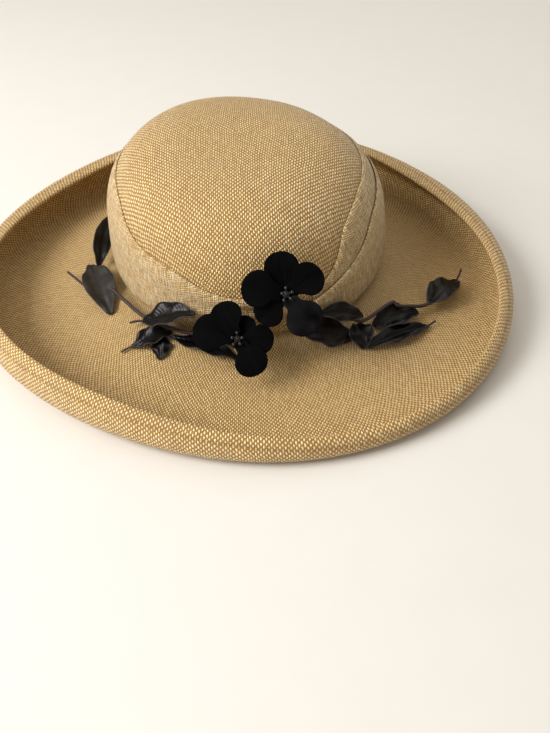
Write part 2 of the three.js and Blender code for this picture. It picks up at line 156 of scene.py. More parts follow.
# root and tip over the brim, half width, arch and cup as shares, roll, twist
LEAVES = (
    ("leaf_left_tip", (194, 0.235, 0.4), (216, 0.243, 0.065), 1.05, 0.38, 0.36, 0, 16),
    ("leaf_left_tall", (193, 0.172, 0.35), (173.8, 0.11, 0.85), 0.65, 0.38, 0.22, 24, 10),
    ("leaf_left_upper", (234.8, 0.205, 0.61), (253.3, 0.14, 1.21), 0.9, 0.25, 0.27, 22, -6),
    ("leaf_left_fork", (242, 0.096, 0.08), (233, 0.355, 0.065), 0.75, 0.25, 0.33, -16, 14),
    ("leaf_left_hanging", (240, 0.163, 0.075), (243.5, 0.348, 0.065), 0.65, 0.25, -0.22, 0, 20),
    ("leaf_left_long", (244.3, 0.138, 0.095), (269.5, 0.222, 0.08), 0.72, 0.25, 0.22, 0, -8),
    ("leaf_right_broad", (291.2, 0.103, 0.39), (307.5, 0.241, 0.13), 1.1, 0.19, 0.22, 16, 6),
    ("leaf_right_back", (299.5, 0.099, 0.78), (312.5, 0.219, 0.58), 0.57, 0.25, 0.22, 40, 0),
    ("leaf_right_wrap", (312, 0.191, 0.16), (308.8, 0.351, 0.075), 0.72, 0.3, 0.38, 0, 20),
    ("leaf_right_outer", (317.8, 0.264, 0.095), (331.8, 0.47, 0.21), 0.78, 0.3, 0.33, 20, -14),
    ("leaf_right_lower", (310.5, 0.366, 0.095), (330, 0.582, 0.08), 0.65, 0.25, 0.29, 4, 10),
    ("leaf_right_end", (337.2, 0.546, 0.32), (352.5, 0.801, 0.2), 0.88, 0.25, 0.33, 10, -18),
)
# way of the bare wire past a leaf's tip
LEAF_TIPS = {
    "leaf_left_fork": ((233.6, 0.335, 0.1), (232, 0.40, 0.095), (231.2, 0.455, 0.08)),
    "leaf_right_lower": ((329.0, 0.572, 0.11), (331.2, 0.602, 0.13), (333.0, 0.628, 0.15)),
}
STEMS = (
    (
        "stem_left",
        1.0,
        (
            (262.8, 0.122, 0.45),
            (246.5, 0.104, 0.3),
            (231.8, 0.122, 0.3),
            (219, 0.117, 0.3),
            (213, 0.148, 0.45),
            (211.3, 0.166, 0.475),
        ),
    ),
    ("stem_left_tip", 0.73, ((207.5, 0.277, 0.29), (198, 0.35, 0.31), (188.8, 0.462, 0.27))),
    ("stem_left_twig", 0.64, ((231.3, 0.14, 0.225), (229.2, 0.184, 0.275), (227.2, 0.224, 0.25))),
    (
        "stem_right",
        1.0,
        (
            (289.8, 0.096, 0.85),
            (296.8, 0.076, 0.75),
            (309.5, 0.162, 0.425),
            (314, 0.223, 0.375),
            (326, 0.282, 0.5),
            (327.5, 0.34, 0.45),
            (334, 0.482, 0.325),
            (336.8, 0.538, 0.325),
        ),
    ),
    ("stem_right_tip", 0.64, ((350.2, 0.781, 0.425), (351.2, 0.805, 0.55), (353.5, 0.838, 0.6))),
)

# full width of a leaf in the scene as a share of its solid's, by side
LEAF_FULLNESS = {"leaf_left": 1.18, "leaf_right": 1.3}
LEAF_OUTLINE = (0.12, 0.6, 0.92, 1, 0.82, 0.5, 0.08)
# heights of the soft forms of leaves and petals, in millimetres, and a crease's width as a share
LEAF_RUFFLE = 1.0
LEAF_RIPPLE = 0.3
LEAF_CREASE = 0.3
PETAL_EDGE_RISE = 0.55
PETAL_RIPPLE = 0.35
PETAL_CREASE = 0.4
CREASE_WIDTH = 0.12
# widths of a petal's blade and neck, as shares of its solid's
PETAL_BLADE = 0.95
PETAL_NECK = 0.42
LEAF_SHEET = LEAF * 0.7
LEAF_EDGE_WIRE = 0.34
LEAF_TIP_WIRE = 0.62
# radius of a stamen's thread and of the dark backing, as shares of the seed's and the hub's
STAMEN_THREAD = 0.4
BACKING_REACH = 2.6
# the petal whose velvet carries more grey painted sheen
BRUSHED_SHEEN_PETAL = ("flower_a", 4)
# count across the cloth, height in millimetres and drift along it, for each soft pleat
WRAP_PLEATS = ((1.0, 0.25, 0.4), (2.3, 0.16, -0.6))
FOLD_PLEATS = ((1.4, 0.22, 0.5), (3.1, 0.12, 0.8))
PLEAT_LOW = -0.45
PLEAT_HIGH = 0.5
# how much wider and longer the flat cloth is than the fold of it that shows
SPARE_WIDTH = 1.08
SPARE_LENGTH = 1.04
# points round the crown and the brim, and along the band's two folds
CROWN_TURNS = 240
BRIM_TURNS = 400
WRAP_STEPS = 260
FOLD_STEPS = 130
# level up to which the crown's rows are evenly spaced, and reach of the rows above it
WALL_TOP = 0.72
DOME_REACH = (0.9, 0.006)
# share of the brim's floor at which its bend ends, and of the roll at which the hem's wall starts
BEND_END = 0.06
HEM_START = 0.74
HEM_BLEND = 0.04

# Colours that vary the main ones, for single threads, mottling and raised crumples, with painted
# highlights, painted sheen and painted shade between threads.
# darker, warmer tone of the straw in random patches
STRAW_MOTTLE = (0.62, 0.36, 0.12)
STRAW_SLUB = (0.42, 0.24, 0.08)
STRAW_PALE = (0.94, 0.72, 0.34)
STRAW_FIBRE = (0.50, 0.30, 0.11)
# painted highlight along the crest of each straw float
STRAW_PAINTED_HIGHLIGHT = (1.0, 0.83, 0.49)
STRAW_KNOT = (1.0, 0.80, 0.48)
CLOTH_WEFT = (0.50, 0.31, 0.11)
CLOTH_WARP = (0.54, 0.35, 0.14)
CLOTH_DARK = (0.36, 0.21, 0.065)
CLOTH_PALE = (1.0, 0.9, 0.62)
# painted shade between the band's threads
CLOTH_GAP_SHADE = (0.33, 0.18, 0.055)
# grey painted sheen on the velvet, in patches and where the pile lies flat
VELVET_PILE_SHEEN = (0.0022, 0.002, 0.0024)
VELVET_PAINTED_SHEEN = (0.016, 0.0155, 0.018)
VELVET_SHEEN = (0.34, 0.33, 0.37)
# leaf colours: lighter tones on the raised crumples of each fabric, and the brown leaf
SATIN_RAISED = (0.008, 0.0074, 0.0086)
ORGANZA_RAISED = (0.065, 0.058, 0.052)
BROWN_LEAF = (0.008, 0.0046, 0.0032)
BROWN_RAISED = (0.018, 0.011, 0.0075)
LEAF_WIRE = (0.028, 0.024, 0.026)
SEED = (0.012, 0.011, 0.012)

# name, place, size, power and tint of each lamp, in metres and watts
LAMPS = (
    ("window", (-1.05, -0.45, 0.9), 0.7, 23.0, (1.0, 0.98, 0.95)),
    ("fill", (0.7, 1.0, 0.85), 1.2, 3.0, (1.0, 0.93, 0.82)),
    ("ceiling", (-0.35, 0.2, 1.6), 2.0, 8.0, (1.0, 0.95, 0.86)),
    ("front", (-1.0, -1.25, 0.6), 1.0, 2.5, (1.0, 0.97, 0.92)),
)
LAMP_AIM = (0, 0, 0.03)
ROOM_COLOUR = (0.9, 0.85, 0.76)
ROOM_LIGHT = 0.4
FLOOR_HALF = 3
FLOOR_DROP = 0.0002

AS_COLOUR = {"subtype": "COLOR", "min": 0, "max": 1}


class HatStraw(bpy.types.PropertyGroup):
    """Straw of the crown and brim."""

    thread: bpy.props.FloatProperty(
        name="Thread", description="Spacing of the straw threads", default=0.0014, unit="LENGTH"
    )
    brim_thread: bpy.props.FloatProperty(
        name="Brim thread", description="Spacing across the brim", default=0.00128, unit="LENGTH"
    )
    brim_threads: bpy.props.IntProperty(
        name="Brim threads", description="Threads that run out from the crown, an even number", default=760
    )
    bright: bpy.props.FloatVectorProperty(
        name="Straw", description="Colour of a thread on top", default=(0.97, 0.585, 0.13), **AS_COLOUR
    )
    # Crossing threads are darkened with painted shade.
    under: bpy.props.FloatVectorProperty(
        name="Crossing", description="Colour of a crossing thread", default=(0.54, 0.27, 0.03), **AS_COLOUR
    )
    # Painted shade between the threads.
    gap: bpy.props.FloatVectorProperty(
        name="Gap", description="Colour between threads", default=(0.33, 0.152, 0.015), **AS_COLOUR
    )


class HatBand(bpy.types.PropertyGroup):
    """Cloth of the band."""

    thread: bpy.props.FloatProperty(
        name="Thread pitch", description="Spacing of the cloth's threads", default=0.0011, unit="LENGTH"
    )
    colour: bpy.props.FloatVectorProperty(
        name="Cloth", description="Colour of the band", default=(0.93, 0.66, 0.285), **AS_COLOUR
    )


class HatSpray(bpy.types.PropertyGroup):
    """Flowers, leaves and stems."""

    velvet: bpy.props.FloatVectorProperty(
        name="Velvet", description="Colour of the petals", default=(0.0006, 0.0005, 0.0007), **AS_COLOUR
    )
    leaf: bpy.props.FloatVectorProperty(
        name="Leaf", description="Colour of the satin leaves", default=(0.0022, 0.002, 0.0023), **AS_COLOUR
    )
    organza: bpy.props.FloatVectorProperty(
        name="Organza", description="Colour of the grey leaf", default=(0.03, 0.0255, 0.0205), **AS_COLOUR
    )
    stem: bpy.props.FloatVectorProperty(
        name="Stem", description="Colour of the wrapped wire", default=(0.034, 0.02, 0.021), **AS_COLOUR
    )


class HatStage(bpy.types.PropertyGroup):
    """Camera, floor and light."""

    lens: bpy.props.FloatProperty(name="Lens", description="Focal length", default=38.11, unit="CAMERA")
    tilt: bpy.props.FloatProperty(
        name="Tilt", description="Camera angle below level", default=math.radians(42.3), subtype="ANGLE"
    )
    eye: bpy.props.FloatVectorProperty(
        name="Camera", description="Place of the camera", default=(0.02149, -0.4261, 0.305), subtype="XYZ"
    )
    floor: bpy.props.FloatVectorProperty(
        name="Floor", description="Colour of the floor", default=(0.78, 0.76, 0.73), **AS_COLOUR
    )


# Shapes of the hat, in millimetres.


def whole_turn(count):
    """Even angles round the hat."""
    return np.linspace(0, 2 * np.pi, count, endpoint=False)


def round_hat(column, angle):
    """A column of RIM_ROWS run smoothly round the hat."""
    rows = len(RIM_ROWS)
    total = np.zeros_like(angle)
    for row in RIM_ROWS:
        away = angle - math.radians(row[0])
        near = np.abs(np.sin(away / 2)) < 1e-9
        safe = np.where(near, 1.0, away)
        weight = np.where(near, 1.0, np.sin(rows * safe / 2) / (rows * np.tan(safe / 2)))
        total = total + weight * row[column]
    return total


def from_table(rows, column, turn):
    """A column of a table read at a turn, along a smooth curve through its rows."""
    last = len(rows) - 1
    following = next((i for i, row in enumerate(rows) if turn <= row[0]), -1)
    following = max(1, following)

    def at(i):
        return rows[min(last, max(0, i))]

    def slope(i):
        return (at(i + 1)[column] - at(i - 1)[column]) / (at(i + 1)[0] - at(i - 1)[0])

    low, high = at(following - 1), at(following)
    span = high[0] - low[0]
    t = min(1.0, max(0.0, (turn - low[0]) / span))
    bend = 3 * t * t - 2 * t**3
    level = low[column] + (high[column] - low[column]) * bend
    leaving = slope(following - 1) * (t**3 - 2 * t * t + t)
    arriving = slope(following) * (t**3 - t * t)
    return level + span * (leaving + arriving)


def crown_point(angle, level, inset=0.0):
    """Crown surface at an angle round the head and a level from the join (0) to the top (1)."""
    angle = np.asarray(angle, float)
    level = np.asarray(level, float)
    rounded = np.power(np.maximum(0.0, 1 - np.power(level, DOME_RISE_POWER)), 1 / DOME_ROUND_POWER)
    dent = np.zeros(np.broadcast(angle, level).shape)
    for turn, middle, spread, depth in CROWN_DENTS:
        away = angle - math.radians(turn)
        apart = np.arctan2(np.sin(away), np.cos(away))
        along = apart * CROWN_HALF_WIDTH * rounded
        up = (level - middle + (1 - rounded) * 0.25) * CROWN_HEIGHT
        near = np.minimum(1.0, rounded / 0.35)
        reach = spread * CROWN_HEIGHT
        dent = dent + near * depth * CROWN_HEIGHT * np.exp(-(along**2 + 2 * up**2) / reach**2)
    shrink = inset + dent * (1 - level**6)
    drop = (inset + dent) * level**6
    x = CROWN_SIDE_SHIFT + CROWN_TOP_LEAN * level**2 + (CROWN_HALF_WIDTH - shrink) * rounded * np.cos(angle)
    y = CROWN_BACK_SHIFT + (CROWN_HALF_LENGTH - shrink) * rounded * np.sin(angle)
    z = JOIN_HEIGHT + level * CROWN_HEIGHT - drop + 0 * angle
    return np.stack(np.broadcast_arrays(x, y, z), -1)


def brim_run(angle):
    """Where the brim leaves the crown, the way outward and the width, for an array of angles."""
    root = np.stack(
        [
            CROWN_SIDE_SHIFT + CROWN_HALF_WIDTH * np.cos(angle),
            CROWN_BACK_SHIFT + CROWN_HALF_LENGTH * np.sin(angle),
            np.zeros_like(angle),
        ],
        -1,
    )
    flat = np.zeros_like(angle)
    rim = np.stack([RIM_HALF_WIDTH * np.cos(angle), RIM_HALF_LENGTH * np.sin(angle), flat], -1)
    out = rim - root
    width = np.linalg.norm(out, axis=-1)
    out = out / width[..., None]
    return root, out, width + RIM_HALF_WIDTH * round_hat(1, angle)


def floor_height(share):
    """Height of the brim's middle line, from the crown (0) to the flat ring (1)."""
    return STRAW / 2 + (JOIN_HEIGHT - STRAW) * np.power(1 - np.clip(share, 0, 1), FLOOR_POWER)


def flat_start(angle, width):
    """Distance from the crown at which the brim's flat ring starts."""
    return width - ROLL_RADIUS * round_hat(2, angle) - REST_FLAT


def over_brim(turn, out, lift):
    """A place over the brim, in millimetres."""
    angle = np.array([math.radians(turn)])
    root, way, width = brim_run(angle)
    reach = flat_start(angle, width)[0]
    place = root[0] + way[0] * reach * out
    place[2] = float(floor_height(out)) + STRAW / 2 + lift * SPRAY_LIFT
    return place


def hat_middle():
    """Middle of the hat's outline, which the frame puts over its origin."""
    low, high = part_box("brim")
    angle = whole_turn(50)
    root, out, width = brim_run(angle)
    edge = root + out * width[:, None]
    shift_x = (edge[:, 0].min() + edge[:, 0].max()) / 2 - (low[0] + high[0]) / 2 / MM
    shift_y = (edge[:, 1].min() + edge[:, 1].max()) / 2 - (low[1] + high[1]) / 2 / MM
    return np.array([shift_x, shift_y, 0.0])


MIDDLE = hat_middle()


def metres(points):
    """Points of the hat in the row's frame, in metres."""
    return (np.asarray(points, float) - MIDDLE) * MM


def linked(name, data):
    """A new object of the scene."""
    piece = bpy.data.objects.new(name, data)
    bpy.context.scene.collection.objects.link(piece)
    return piece


def mesh_object(name, points, faces, material, weave=None, smooth=True):
    """A mesh piece, with weave as (u, v) for each face corner."""
    mesh = bpy.data.meshes.new(name)
    mesh.from_pydata([tuple(p) for p in points], [], [tuple(f) for f in faces])
    if weave is not None:
        layer = mesh.uv_layers.new(name="weave")
        layer.data.foreach_set("uv", np.asarray(weave, np.float32).ravel())
    mesh.polygons.foreach_set("use_smooth", [smooth] * len(mesh.polygons))
    mesh.materials.append(material)
    mesh.update()
    return linked(name, mesh)


def grid_faces(rows, columns, ring):
    """Vertex and grid indices of the quads of a grid, for shared vertices and unshared corners."""
    i, j = np.meshgrid(np.arange(rows if ring else rows - 1), np.arange(columns), indexing="ij")
    corners = np.stack([np.stack([i + a, j + b], -1) for a, b in ((0, 0), (0, 1), (1, 1), (1, 0))], -2)
    shared = (corners[..., 0] % rows) * columns + corners[..., 1] % columns
    return shared.reshape(-1, 4), corners.reshape(-1, 4, 2)


def faces_out(points, faces):
    """Whether the faces of a closed mesh enclose a positive volume."""
    a, b, c, d = (points[faces[:, k]] for k in range(4))
    return (np.cross(a, b) * c).sum() + (np.cross(a, c) * d).sum() > 0


def shell_piece(name, grid, weave, material, ring=False):
    """A closed piece from a grid of points whose columns run round, and whose rows do too in a ring.

    The weave has one row and column more where the grid closes on itself.
    """
    rows, columns = grid.shape[:2]
    points = grid.reshape(-1, 3)
    faces, corners = grid_faces(rows, columns, ring)
    if not faces_out(points, faces):
        faces, corners = faces[:, ::-1], corners[:, ::-1]
    uv = weave[corners[..., 0], corners[..., 1]]
    piece = mesh_object(name, points, faces, material, uv.reshape(-1, 2))
    if not ring:
        close_ends(piece)
    return piece


def close_ends(piece):
    """Fills a piece's open ends."""
    work = bmesh.new()
    work.from_mesh(piece.data)
    edges = [edge for edge in work.edges if edge.is_boundary]
    if edges:
        bmesh.ops.holes_fill(work, edges=edges)
    bmesh.ops.recalc_face_normals(work, faces=work.faces)
    work.to_mesh(piece.data)
    work.free()
    piece.data.polygons.foreach_set("use_smooth", [True] * len(piece.data.polygons))


def dress(piece, slot, *nodes):
    """The piece rides on the hat and stands for its solids."""
    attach(piece, "root")
    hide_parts(*nodes)


# Materials.


def new_material(name):
    """A material with the calls that build its nodes, and its shader."""
    material = bpy.data.materials.new(name)
    material.use_nodes = True
    tree = material.node_tree
    return material, Nodes(tree), tree.nodes["Principled BSDF"]


class Nodes:
    """Short calls that add and join the nodes of one tree."""

    def __init__(self, tree):
        self.tree = tree

    def put(self, kind, settings=None, **inputs):
        node = self.tree.nodes.new(kind)
        for key, value in (settings or {}).items():
            setattr(node, key, value)
        self.fill(node, **inputs)
        return node

    def fill(self, node, **inputs):
        for key, value in inputs.items():
            self.join(value, node.inputs[key.replace("_", " ")])

    def first(self, kind, settings=None, **inputs):
        """First output of a new node."""
        return self.put(kind, settings, **inputs).outputs[0]

    def join(self, value, socket):
        if isinstance(value, bpy.types.NodeSocket):
            self.tree.links.new(value, socket)
        else:
            socket.default_value = value

    def math(self, operation, *values, clamp=False):
        node = self.tree.nodes.new("ShaderNodeMath")
        node.operation = operation
        node.use_clamp = clamp
        for value, socket in zip(values, node.inputs):
            self.join(value, socket)
        return node.outputs[0]

    def times(self, a, b, clamp=False):
        return self.math("MULTIPLY", a, b, clamp=clamp)

    def plus(self, a, b):
        return self.math("ADD", a, b)

    def less(self, a, b, clamp=False):
        return self.math("SUBTRACT", a, b, clamp=clamp)

    def power(self, a, b):
        return self.math("POWER", a, b)

    def mix(self, factor, a, b):
        node = self.tree.nodes.new("ShaderNodeMix")
        node.data_type = "RGBA"
        self.join(factor, node.inputs["Factor"])
        self.join(a, node.inputs["A"])
        self.join(b, node.inputs["B"])
        return node.outputs["Result"]

    def weave_uv(self):
        uv = self.put("ShaderNodeUVMap", {"uv_map": "weave"})
        split = self.put("ShaderNodeSeparateXYZ", Vector=uv.outputs["UV"])
        return uv.outputs["UV"], split.outputs["X"], split.outputs["Y"]

    def place(self):
        return self.put("ShaderNodeTexCoord").outputs["Object"]

    def noise(self, vector, scale, detail=2.0, roughness=0.5):
        settings = {"Vector": vector, "Scale": scale, "Detail": detail, "Roughness": roughness}
        return self.first("ShaderNodeTexNoise", **settings)

    def streaks(self, uv, across, along, scale, detail, roughness):
        """Noise drawn out along the threads."""
        drawn = self.first("ShaderNodeMapping", Vector=uv, Scale=(across, along, 1.0))
        return self.noise(drawn, scale, detail, roughness)

    def chance(self, value):
        """A fixed random number for each whole part of a value."""
        whole = self.math("FLOOR", value)
        return self.first("ShaderNodeTexWhiteNoise", {"noise_dimensions": "1D"}, W=whole)

    def past(self, value, start, gain):
        """How far a value is past a start, times a gain, held from 0 to 1."""
        return self.times(self.less(value, start, clamp=True), gain, clamp=True)

    def bump(self, height, strength, distance):
        return self.first("ShaderNodeBump", Height=height, Strength=strength, Distance=distance)


def colour(values, dim=1.0, lift=0.0):
    """A colour with its alpha, dimmed and lifted but never past white."""
    return (*(min(1.0, value * dim + lift) for value in values), 1.0)


def straw_material(name, hem=0.0):
    """Plain-woven lustrous straw: pale floats with a painted highlight on their crests, over crossing
    threads darkened with painted shade, with painted shade between the threads, and a stitched groove
    darkened with painted shade where the hem ends.
    """
    settings = bpy.context.scene.hat_straw
    material, n, shader = new_material(name)
    uv, u, v = n.weave_uv()
    u = n.plus(u, n.times(n.less(n.noise(uv, 0.13), 0.5), 1.5))
    v = n.plus(v, n.times(n.less(n.noise(uv, 0.31), 0.5), 0.8))

    # each float spans two rows, and the next column's floats start one row on
    column = n.math("FLOOR", u)
    stagger = n.times(n.math("FLOORED_MODULO", column, 2.0), 0.5)
    pair = n.plus(n.times(v, 0.5), stagger)
    row = n.math("FLOOR", pair)
    beside = n.math("ABSOLUTE", n.times(n.less(n.math("FRACT", u), 0.5), 2.0))
    along = n.math("ABSOLUTE", n.less(n.math("FRACT", pair), 0.5))
    cell = n.first("ShaderNodeCombineXYZ", X=column, Y=row)
    dice = n.first("ShaderNodeTexWhiteNoise", {"noise_dimensions": "2D"}, Vector=cell)
    half = n.plus(0.33, n.times(dice, 0.09))
    dome = n.less(1.0, n.power(beside, 2.4), clamp=True)
    arch = n.less(1.0, n.power(n.math("DIVIDE", along, half), 2.2), clamp=True)
    over = n.times(n.power(dome, 0.6), n.power(arch, 0.6))
    aside = n.math("DIVIDE", n.less(0.5, along), 0.2)
    under = n.times(n.less(1.0, n.power(aside, 2.0), clamp=True), 0.34)
    under = n.times(under, n.less(1.0, n.times(beside, 0.4)))
    crossing = n.math("LESS_THAN", over, under)
    knot = n.math("GREATER_THAN", dice, 0.993)
    height = n.math("MAXIMUM", over, under)
    height = n.times(height, n.plus(0.75, n.times(dice, 0.35)))
    height = n.times(height, n.plus(1.0, n.times(knot, 0.5)))

    fibres = n.streaks(uv, 9.0, 1.1, 1.0, 3.0, 0.6)
    slub = n.streaks(uv, 0.9, 0.09, 1.0, 2.0, 0.5)
    patch = n.noise(n.place(), 14.0, 3.0, 0.55)
    pale_thread = n.times(n.chance(u), n.chance(v))
    straw = n.mix(dice, colour(settings.bright, 0.78), colour(settings.bright, 1.12, 0.04))
    straw = n.mix(n.times(patch, 0.30), straw, colour(STRAW_MOTTLE))
    straw = n.mix(n.past(slub, 0.52, 3.0), straw, colour(STRAW_SLUB))
    straw = n.mix(n.times(pale_thread, 0.35), straw, colour(STRAW_PALE))
    straw = n.mix(n.past(fibres, 0.42, 0.8), straw, colour(STRAW_FIBRE))
    # Painted highlight: paler colour along the crest of each float.
    straw = n.mix(n.times(n.power(over, 2.5), 0.7), straw, colour(STRAW_PAINTED_HIGHLIGHT))
    # Painted shade: crossing threads, lying lower, take a darker colour.
    straw = n.mix(n.times(crossing, 0.85), straw, colour(settings.under))
    straw = n.mix(n.times(knot, 0.5), straw, colour(STRAW_KNOT))
    # Painted shade between the threads: the lower the weave, the more of the darker colour.
    depth = n.power(n.times(height, 1.3, clamp=True), 1.7)
    skin = n.mix(depth, colour(settings.gap), straw)
    if hem:
        # A stitched groove where the hem ends, darkened with painted shade.
        off = n.math("ABSOLUTE", n.less(v, hem))
        groove = n.less(1.0, off, clamp=True)
        skin = n.mix(n.times(groove, 0.4), skin, colour(settings.gap))
        height = n.less(height, n.times(groove, 0.8))
    gloss = n.plus(0.22, n.times(n.less(1.0, height), 0.35))
    relief = n.bump(n.plus(height, n.times(fibres, 0.2)), 1.0, 0.001)
    n.fill(shader, Base_Color=skin, Roughness=gloss, Normal=relief)
    n.fill(shader, Specular_IOR_Level=0.95, Sheen_Weight=0.1, Sheen_Roughness=0.5)
    return material


def cloth_material():
    """Fine slubby straw cloth of the band, in plain weave."""
    settings = bpy.context.scene.hat_band
    material, n, shader = new_material("band_cloth")
    uv, u, v = n.weave_uv()
    u = n.plus(u, n.times(n.noise(uv, 0.25), 1.6))
    v = n.plus(v, n.times(n.noise(uv, 0.2), 1.6))
    warp = n.math("ABSOLUTE", n.math("SINE", n.times(u, math.pi)))
    weft = n.math("ABSOLUTE", n.math("SINE", n.times(v, math.pi)))
    threads = n.times(n.power(warp, 0.5), n.power(weft, 0.7))
    dark_slub = n.streaks(uv, 0.10, 0.9, 1.3, 3.0, 0.65)
    pale_slub = n.streaks(uv, 0.9, 0.12, 1.3, 3.0, 0.65)
    tone = n.noise(n.place(), 22.0)
    base = n.mix(tone, colour(settings.colour, 0.86), colour(settings.colour, 1.1))
    base = n.mix(n.times(n.chance(v), 0.65), base, colour(CLOTH_WEFT))
    base = n.mix(n.times(n.chance(u), 0.4), base, colour(CLOTH_WARP))
    base = n.mix(n.past(dark_slub, 0.49, 9.0), base, colour(CLOTH_DARK))
    base = n.mix(n.past(pale_slub, 0.47, 7.0), base, colour(CLOTH_PALE))
    # Painted shade between the threads.
    skin = n.mix(n.plus(0.1, n.times(threads, 0.9)), colour(CLOTH_GAP_SHADE), base)
    slubs = n.plus(n.times(dark_slub, 0.9), n.times(pale_slub, 0.8))
    n.fill(shader, Base_Color=skin, Normal=n.bump(n.plus(threads, slubs), 0.9, 0.0005))
    n.fill(shader, Roughness=0.5, Sheen_Weight=0.15, Sheen_Roughness=0.4)
    return material


def velvet_material(name, painted_sheen):
    """Deep black velvet, with patches of grey painted sheen where the pile lies flat."""
    settings = bpy.context.scene.hat_spray
    material, n, shader = new_material(name)
    place = n.place()
    pile = n.noise(place, 2600.0, 2.0, 0.6)
    brushed_sheen = n.noise(place, 130.0, 3.0, 0.6)
    # Painted sheen: patches of lighter pile, and grey where the pile lies flat.
    lain_sheen = n.past(n.noise(place, 60.0), 0.35, painted_sheen * 4.0)
    base = n.mix(n.times(brushed_sheen, 0.8), colour(settings.velvet), colour(VELVET_PILE_SHEEN))
    skin = n.mix(lain_sheen, base, colour(VELVET_PAINTED_SHEEN))
    height = n.plus(n.times(pile, 0.5), brushed_sheen)
    n.fill(shader, Base_Color=skin, Normal=n.bump(height, 0.5, 0.0004))
    n.fill(shader, Roughness=0.9, Specular_IOR_Level=0.06)
    n.fill(shader, Sheen_Weight=0.025, Sheen_Roughness=0.28, Sheen_Tint=colour(VELVET_SHEEN))
    return material


def leaf_material(name, base, raised, gloss):
    """Dark satin or organza with fine ribs, crumpled by hand."""
    material, n, shader = new_material(name)
    across, along = n.weave_uv()[1:]
    place = n.place()
    slant = n.plus(n.times(along, 46.0), n.times(n.math("ABSOLUTE", across), 9.0))
    ribs = n.math("ABSOLUTE", n.math("SINE", slant))
    crumple = n.noise(place, 110.0)
    fold = n.noise(place, 75.0, 1.0, 0.4)
    skin = n.mix(n.noise(place, 60.0), colour(base), colour(base, 0.5))
    # Lighter tone on the raised parts of the crumples.
    skin = n.mix(n.past(crumple, 0.55, 2.4), skin, colour(raised))
    crumpled = n.plus(crumple, n.times(fold, 2.0))
    height = n.plus(n.times(ribs, 0.08), crumpled)
    n.fill(shader, Base_Color=skin, Normal=n.bump(height, 0.55, 0.0014))
    n.fill(shader, Roughness=gloss, Specular_IOR_Level=0.2)
    return material


def wire_material(name, base, gloss):
    """Wire wrapped in thread, or a seed, with a fine ridge at each turn."""
    material, n, shader = new_material(name)
    along = n.weave_uv()[2]
    wrap = n.math("ABSOLUTE", n.math("SINE", n.times(along, 5.2)))
    tone = n.noise(n.place(), 260.0)
    skin = n.mix(tone, colour(base, 0.55), colour(base, 1.7))
    n.fill(shader, Base_Color=skin, Roughness=gloss, Normal=n.bump(wrap, 0.6, 0.0002))
    return material


def stem_material():
    """The dark thread of every stem and stalk, made once."""
    made = bpy.data.materials.get("stem_wire")
    return made or wire_material("stem_wire", tuple(bpy.context.scene.hat_spray.stem), 0.5)


# Pieces.


def weave_map(angle, radius, slope):
    """Where a point of the blocked dome lay on the flat woven cloth: radius from above and slope length."""
    extra = slope - radius
    c = np.cos(angle)
    s = np.sin(angle)
    return np.stack([radius * c + extra * c * np.abs(c), radius * s + extra * s * np.abs(s)], -1)


def crown_piece(name, material):
    """The crown's dome, outside and inside, with its weave."""
    foot = (GAP + STRAW / 2) / CROWN_HEIGHT
    wall = np.linspace(foot, WALL_TOP, 40, endpoint=False)
    reach = np.linspace(*DOME_REACH, 70)
    level = np.concatenate([wall, np.power(1 - np.power(reach, DOME_ROUND_POWER), 1 / DOME_RISE_POWER)])
    angle = whole_turn(CROWN_TURNS)
    pitch = bpy.context.scene.hat_straw.thread / MM
    sheets = []
    maps = []
    for inset in (0.0, STRAW):
        grid = crown_point(angle[None, :], level[:, None], inset)
        sheets.append(grid)
        steps = np.linalg.norm(np.diff(grid, axis=0), axis=-1)
        slope = np.concatenate([np.cumsum(steps[::-1], axis=0)[::-1], np.zeros((1, CROWN_TURNS))], 0)
        radius = np.minimum(slope, np.linalg.norm(grid[:, :, :2] - grid[-1:, :, :2], axis=-1))
        wide = weave_map(angle[None, :], radius, slope)
        maps.append(np.concatenate([wide, wide[:, :1]], 1) / pitch)
    grid = np.concatenate([sheets[0][::-1], sheets[1]], 0)
    weave = np.concatenate([maps[0][::-1], maps[1]], 0)
    return shell_piece(name, metres(grid), weave, material)


def brim_line(angle):
    """Middle line across the brim for an array of angles, as out, up and wall arrays."""
    root, way, width = brim_run(angle)
    roll = ROLL_RADIUS * round_hat(2, angle) - STRAW / 2
    sweep = np.radians(round_hat(3, angle))
    collar = -(STRAW * 1.5 + GAP * 2.6)
    start = flat_start(angle, width)
    rows = []
    bend_top = JOIN_HEIGHT + STRAW * 1.2
    for up in np.linspace(JOIN_HEIGHT + COLLAR_HEIGHT, bend_top, 5):
        rows.append((collar, up, STRAW))
    for t in np.linspace(0.2, 0.8, 4):
        a = t * np.pi / 2
        out = collar + (start * BEND_END - collar) * (1 - math.cos(a))
        up = bend_top - (bend_top - (floor_height(BEND_END) - STRAW * 0.2)) * math.sin(a)
        rows.append((out, up, STRAW))
    for share in np.linspace(BEND_END, 1, 22):
        rows.append((start * share, floor_height(share), STRAW))
    turn = width - STRAW / 2 - roll
    for share in np.linspace(0, 1, 30):
        a = sweep * share
        hem = min(1.0, max(0.0, (share - HEM_START) / HEM_BLEND))
        wall = STRAW + (HEM_WALL - STRAW) * hem
        rows.append((turn + roll * np.sin(a), STRAW / 2 + roll * (1 - np.cos(a)), wall))
    out, up, wall = (np.stack([np.broadcast_to(row[k], angle.shape) for row in rows]) for k in range(3))
    return root, way, out, up, wall


